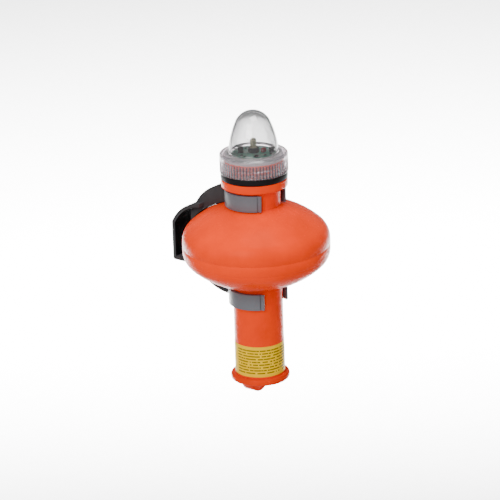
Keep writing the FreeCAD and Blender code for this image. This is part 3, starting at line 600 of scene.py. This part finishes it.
# ---- pieces of the beacon ----
def spigot_wall(angle, r, z):
    """Radius of the upper shell at an angle, with the thread round its spigot."""
    if abs(r - SPIGOT_RADIUS) < SAME_WALL and z > GASKET_BOTTOM + 1:
        return r + thread_height(angle, z, SPIGOT_THREAD)
    return r


def upper_shell():
    """Top half of the float with its neck, collar and threaded spigot."""
    outline = [(FLOAT_RADIUS - SEAM_DEPTH, 0), (FLOAT_RADIUS, SEAM_WIDTH)]
    outline += shoulder_curve(NECK_RADIUS, 0, 1)
    outline += softened([
        (NECK_RADIUS, SHOULDER_TOP + 1, 0), (NECK_RADIUS, COLLAR_BOTTOM, 0.8),
        (COLLAR_RADIUS, COLLAR_BOTTOM, 1.1), (COLLAR_RADIUS, GASKET_BOTTOM, 0.9),
        (SPIGOT_RADIUS, GASKET_BOTTOM, 0.3), (SPIGOT_RADIUS, GASKET_BOTTOM + 1, 0)])
    outline += climbing(SPIGOT_RADIUS, GASKET_BOTTOM + 1.2, SPIGOT_TOP - 0.8)
    outline += softened([
        (SPIGOT_RADIUS, SPIGOT_TOP - 0.7, 0), (SPIGOT_RADIUS, SPIGOT_TOP, 0.6),
        (COUNTERBORE[0], SPIGOT_TOP, 0.3), (COUNTERBORE[0], COUNTERBORE[1], 0.2),
        (BORE_RADIUS, COUNTERBORE[1], 0.2), (BORE_RADIUS, TUBE_TOP, 0.2),
        (SOCKET_INNER, TUBE_TOP, 0.2), (SOCKET_INNER, SOCKET_BOTTOM, 0.4),
        (SOCKET_OUTER, SOCKET_BOTTOM, 0.4), (SOCKET_OUTER, JOIN_HEIGHT, 0)])
    inside = [p for p in shoulder_curve(NECK_RADIUS, -SHELL_WALL, 1)
              if p[0] > SOCKET_OUTER + WALL_CLEARANCE]
    outline += inside[::-1] + [(FLOAT_RADIUS - SHELL_WALL, 0)]
    points, faces = turned(outline, FINE_STEPS, shape=spigot_wall)
    add_piece("float_upper", points, faces, "beacon", orange, ("upper_float_shell",))


def creased(r, z):
    """Sinks the outline into a narrow groove at the crease."""
    return r - CREASE_DEPTH * max(0, 1 - abs(z - CREASE_HEIGHT) / CREASE_HALF_WIDTH), z


def lower_shell():
    """Bottom half of the float with the battery tube."""
    outline = [(FLOAT_RADIUS - SEAM_DEPTH, 0), (FLOAT_RADIUS, -SEAM_WIDTH)]
    outline += [creased(*place) for place in shoulder_curve(TUBE_RADIUS, 0, -1)]
    outline += softened([
        (TUBE_RADIUS, -SHOULDER_TOP - 1, 0), (TUBE_RADIUS, TUBE_BOTTOM, 0.3),
        (BORE_RADIUS, TUBE_BOTTOM, 0.3), (BORE_RADIUS, TUBE_TOP, 0.3),
        (TUBE_RADIUS, TUBE_TOP, 0.5), (TUBE_RADIUS, -JOIN_HEIGHT, 0)])
    inside = [p for p in shoulder_curve(TUBE_RADIUS, -SHELL_WALL, -1)
              if p[0] > TUBE_RADIUS + WALL_CLEARANCE]
    outline += inside[::-1]
    reach = FLOAT_RADIUS - SHELL_WALL
    outline += [(reach, -LIP_HEIGHT), (reach - LIP_WALL, -LIP_HEIGHT), (reach - LIP_WALL, LIP_HEIGHT),
                (reach - LIP_CLEARANCE, LIP_HEIGHT), (reach - LIP_CLEARANCE, 0)]
    points, faces = turned(outline, FINE_STEPS)
    add_piece("float_lower", points, faces, "beacon", orange, ("lower_float_shell",))


def gasket():
    """Rubber ring, pressed so that its outside bulges a little."""
    middle = (GASKET_BOTTOM + RING_BOTTOM) / 2
    edge, side = GASKET_RADIUS - GASKET_EDGE, GASKET_RADIUS - 0.1
    outline = softened([
        (GASKET_BORE, GASKET_BOTTOM, 0.2), (edge, GASKET_BOTTOM, 0.4), (side, GASKET_BOTTOM + 0.9, 0.4),
        (GASKET_RADIUS, middle, 1.2),
        (side, RING_BOTTOM - 0.9, 0.4), (edge, RING_BOTTOM, 0.4), (GASKET_BORE, RING_BOTTOM, 0.2)])
    points, faces = turned(outline, FINE_STEPS)
    add_piece("gasket", points, faces, "beacon", rubber, ("lens_gasket",))


def lens_outline():
    """Section of the cap: down the outside of dome and ring, and back up the inside."""
    shoulder = RING_RADIUS - RING_SHOULDER
    dome = [p for p in dome_curve(0) if p[1] > RING_TOP + DOME_FOOT]
    inner = [p for p in dome_curve(DOME_WALL) if p[1] > RING_TOP + 0.3]
    outline = dome[::-1]
    outline += softened([(*dome[0], 0), (DOME_BASE, RING_TOP, DOME_FOOT), (shoulder, RING_TOP, 0)])[1:]
    outline += arc((shoulder, RING_TOP - RING_SHOULDER), RING_SHOULDER, math.pi / 2, 0, 8)[1:]
    outline += climbing(RING_RADIUS, RING_TOP - RING_SHOULDER, RING_BOTTOM + 0.5, 0.4)[1:]
    outline += softened([
        (RING_RADIUS, RING_BOTTOM + 0.4, 0), (RING_RADIUS, RING_BOTTOM, 0.4),
        (RING_BORE, RING_BOTTOM, 0)])[1:]
    outline += climbing(RING_BORE, RING_BOTTOM, ROOF_UNDERSIDE - ROOF_CORNER)[1:]
    outline += softened([
        (RING_BORE, ROOF_UNDERSIDE - ROOF_CORNER, 0), (RING_BORE, ROOF_UNDERSIDE, ROOF_CORNER),
        (BOARD_RADIUS + 0.6, ROOF_UNDERSIDE, ROOF_CORNER), (*inner[0], 0)])[1:]
    return outline + inner[1:]


def lens_wall(angle, r, z):
    """Radius of the cap at an angle, with the ribs outside and the thread inside the ring."""
    if abs(r - RING_RADIUS) < SAME_WALL:
        low, high = RIB_BAND
        share = min(1, max(0, min(z - low, high - z) / RIB_END))
        return r - RIB_DEPTH * share * (1 - abs(math.cos(RIBS / 2 * angle))) ** RIB_POWER
    if abs(r - RING_BORE) < SAME_WALL and z < ROOF_UNDERSIDE - 1:
        return r + thread_height(angle, z, RING_THREAD)
    return r


def lens():
    """Clear cap: dome, ribbed screw ring and its inner thread, all one moulding."""
    points, faces = turned(lens_outline(), CAP_STEPS, shape=lens_wall)
    add_piece("lens", points, faces, "cap", clear, ("lens_cap",))


def label():
    """Film round the tube, bare at the back."""
    inner = TUBE_RADIUS + LABEL_LIFT
    outline = [(inner, LABEL_BOTTOM), (LABEL_RADIUS, LABEL_BOTTOM),
               (LABEL_RADIUS, LABEL_TOP), (inner, LABEL_TOP)]
    first = math.radians(BACK + LABEL_GAP / 2)
    last = math.radians(BACK + 360 - LABEL_GAP / 2)
    points, faces = part_turned(outline, LABEL_STEPS, first, last)
    add_piece("label", points, faces, "beacon", label_film, ("instruction_label",))


def lamp():
    """Milky lamp with a rim at its foot and a round top."""
    foot, rim_top = LAMP_FOOT[0], LAMP_BOTTOM + LAMP_FOOT[1]
    outline = [(0, LAMP_BOTTOM)]
    outline += softened([(foot, LAMP_BOTTOM, 0.1), (foot, rim_top, 0.2), (LAMP_RADIUS, rim_top, 0.1)])
    outline += arc((0, LAMP_TOP - LAMP_RADIUS), LAMP_RADIUS, 0, math.pi / 2, 12)
    points, faces = turned(outline, SMALL_STEPS)
    add_piece("led", points, faces, "lamp_stack", resin, ("led_lamp",))


def lamp_cup():
    """Pale cup inside the lamp, wider at the top and hollowed there."""
    low, high = (LAMP_BOTTOM + height for height in CUP_ENDS)
    floor = high - CUP_DEPTH
    outline = [(0, low)]
    outline += softened([
        (CUP_RADIUS * 0.7, low, 0.2), (CUP_RADIUS, high, 0.2), (CUP_RADIUS * 0.8, high, 0.1)])
    outline += [(CUP_RADIUS * 0.5, floor), (0, floor)]
    points, faces = turned(outline, SMALL_STEPS)
    add_piece("led_cup", points, faces, "lamp_stack", chip)


def arm_gap_shade():
    """Thin black strip under the upper arm: painted shade that fills its gap over the float's shoulder.
    """
    near, far = GAP_SHADE_REACH
    over = [p for p in shoulder_curve(NECK_RADIUS, GAP_SHADE_TOP, 1) if near < p[0] < far]
    under = [p for p in shoulder_curve(NECK_RADIUS, GAP_SHADE_BOTTOM, 1) if near < p[0] < far]
    first, last = math.radians(BACK - GAP_SHADE_SPREAD), math.radians(BACK + GAP_SHADE_SPREAD)
    points, faces = part_turned(over + under[::-1], GAP_SHADE_STEPS, first, last)
    # painted shade: a black strip set in the gap, where there is only shade
    add_piece("arm_gap_shade", points, faces, "bracket", rubber)


def paint_recess_shade(bracket):
    """Painted shade: near-black on the faces inside the tray, which look at the float or down, where
    shade falls.
    """
    bracket.data.materials.append(recess_painted_shade)
    for face in bracket.data.polygons:
        inside = (bracket.matrix_world @ face.center).y > TRAY_MOUTH * MM
        # faces inside the tray that look at the float or down get the painted shade
        if inside and -face.normal.y - DOWN_WEIGHT * face.normal.z > RECESS_LIMIT:
            face.material_index = 1


upper_shell()
lower_shell()
gasket()
lens()
label()
lamp()
lamp_cup()
arm_gap_shade()
refined("tail_cap", "beacon", tail_orange, 0.8)
paint_recess_shade(refined("wall_bracket", "bracket", bracket_grey, 0.6))
refined("upper_clip", "bracket", clip_grey, 0.45)
refined("lower_clip", "bracket", clip_grey, 0.45)
refined("led_socket", "lamp_stack", black_part, 0.25)
refined("circuit_board", "lamp_stack", laminate, 0.1)

# CAD nodes that are shown as they are, with their materials
KEPT = {
    "battery_cell_upper": cell_film, "battery_cell_lower": cell_film, "battery_spring": steel,
    "contact_strip": plated, "lamp_carrier": carrier_white, "positive_contact": brass,
    "negative_contact": plated, "positive_lead": sleeve_red, "negative_lead": sleeve_red,
    "board_screws": steel, "tilt_switch_can": black_part, "tilt_switch_ball": steel,
    "storage_capacitor": red_part, "driver_transistor": black_part, "driver_inductor": black_part,
    "board_resistors": black_part, "clip_screws": steel,
}
for node, finish in KEPT.items():
    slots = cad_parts[node].data.materials
    slots.clear()
    slots.append(finish)


# ---- camera, floor and light ----
def make_camera():
    """A camera at the view's azimuth, elevation and roll, aimed near the float's middle."""
    azimuth, elevation, roll = (math.radians(a) for a in (VIEW_AZIMUTH, VIEW_ELEVATION, VIEW_ROLL))
    back = Vector((math.sin(azimuth) * math.cos(elevation),
                   -math.cos(azimuth) * math.cos(elevation), math.sin(elevation)))
    level = Vector((math.cos(azimuth), math.sin(azimuth), 0))
    upright = back.cross(level)
    right = level * math.cos(roll) - upright * math.sin(roll)
    up = upright * math.cos(roll) + level * math.sin(roll)
    data = bpy.data.cameras.new("camera")
    data.sensor_width = SENSOR
    data.lens = SENSOR * VIEW_DISTANCE / PICTURE_WIDTH
    data.clip_end = CAMERA_REACH * MM
    camera = bpy.data.objects.new("camera", data)
    place = AXIS + right * AIM_RIGHT + up * AIM_UP + back * VIEW_DISTANCE
    turn = Matrix((right, up, back)).transposed().to_4x4()
    camera.matrix_world = Matrix.Translation(place * MM) @ turn
    bpy.context.scene.collection.objects.link(camera)
    bpy.context.scene.camera = camera


def make_floor():
    """Pale matt floor, far below the beacon."""
    corners = [(-1, -1), (1, -1), (1, 1), (-1, 1)]
    points = [Vector((x * FLOOR_REACH, y * FLOOR_REACH, -FLOOR_DROP)) * MM for x, y in corners]
    mesh = bpy.data.meshes.new("floor")
    mesh.from_pydata(points, [], [(0, 1, 2, 3)])
    mesh.materials.append(floor_white)
    floor = bpy.data.objects.new("floor", mesh)
    bpy.context.scene.collection.objects.link(floor)


def make_light(name, place, size, watts, target):
    """A soft rectangular lamp that faces its target."""
    data = bpy.data.lights.new(name, "AREA")
    data.shape = "RECTANGLE"
    data.size, data.size_y = size[0] * MM, size[1] * MM
    data.energy = watts
    light = bpy.data.objects.new(name, data)
    light.location = place * MM
    light.rotation_euler = (target - place).to_track_quat("-Z", "Y").to_euler()
    bpy.context.scene.collection.objects.link(light)


def make_world():
    """Even white light from all round."""
    world = bpy.data.worlds.new("studio")
    bpy.context.scene.world = world
    world.use_nodes = True
    sky = world.node_tree.nodes["Background"]
    sky.inputs["Color"].default_value = (1, 1, 1, 1)
    sky.inputs["Strength"].default_value = SKY_STRENGTH


def studio(right, up, towards):
    """A place in the studio as seen from the camera: right, up and towards it, level."""
    azimuth = math.radians(VIEW_AZIMUTH)
    across = Vector((math.cos(azimuth), math.sin(azimuth), 0))
    forward = Vector((math.sin(azimuth), -math.cos(azimuth), 0))
    return AXIS + across * right + forward * towards + Vector((0, 0, up))


make_camera()
make_floor()
make_world()
make_light("key", place=studio(120, 1500, 250), size=(850, 850), watts=20, target=AXIS)
make_light("front", place=studio(-650, 1000, 1500), size=(1000, 1000), watts=32, target=AXIS)
# lights only the floor behind the beacon, with its back to the beacon
make_light("backdrop", place=studio(0, 500, -1350), size=(2400, 1200), watts=560,
           target=studio(0, -FLOOR_DROP, -2800))
